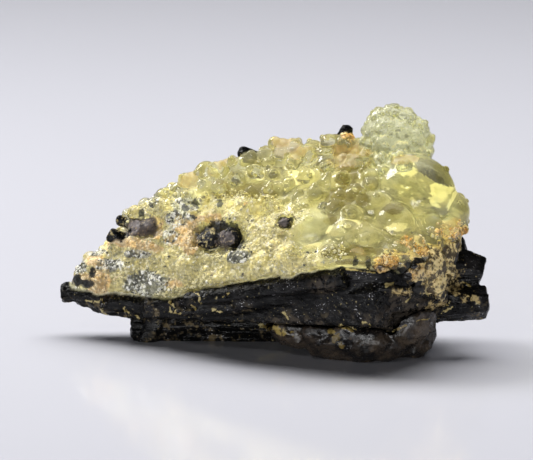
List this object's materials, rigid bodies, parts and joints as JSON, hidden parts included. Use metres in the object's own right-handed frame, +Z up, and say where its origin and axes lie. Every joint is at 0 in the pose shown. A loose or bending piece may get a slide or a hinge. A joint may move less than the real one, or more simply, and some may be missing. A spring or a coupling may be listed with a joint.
{
  "type": "mineral specimen",
  "caption": "Hyalite opal specimen: a glassy yellow-green crust of domes and beads over black tourmaline, with a brown quartz lump below it.",
  "frame": {"origin": "bottom centre of the specimen, under the middle of its bounding box", "axes": "+X along the specimen's longest extent, towards the end with the pale knob, +Z up, -Y to the sloping front that carries the crust"},
  "size_m": [0.0464, 0.0213, 0.0261],
  "materials": {
    "schorl": "gloss",
    "smoky_quartz": "satin",
    "hyalite": "polished",
    "druse": "satin"
  },
  "bodies": {
    "root": {"schorl_matrix": "schorl", "smoky_quartz_foot": "smoky_quartz", "hyalite_crust": "hyalite", "iron_stained_druse": "druse"}
  },
  "joints": []
}
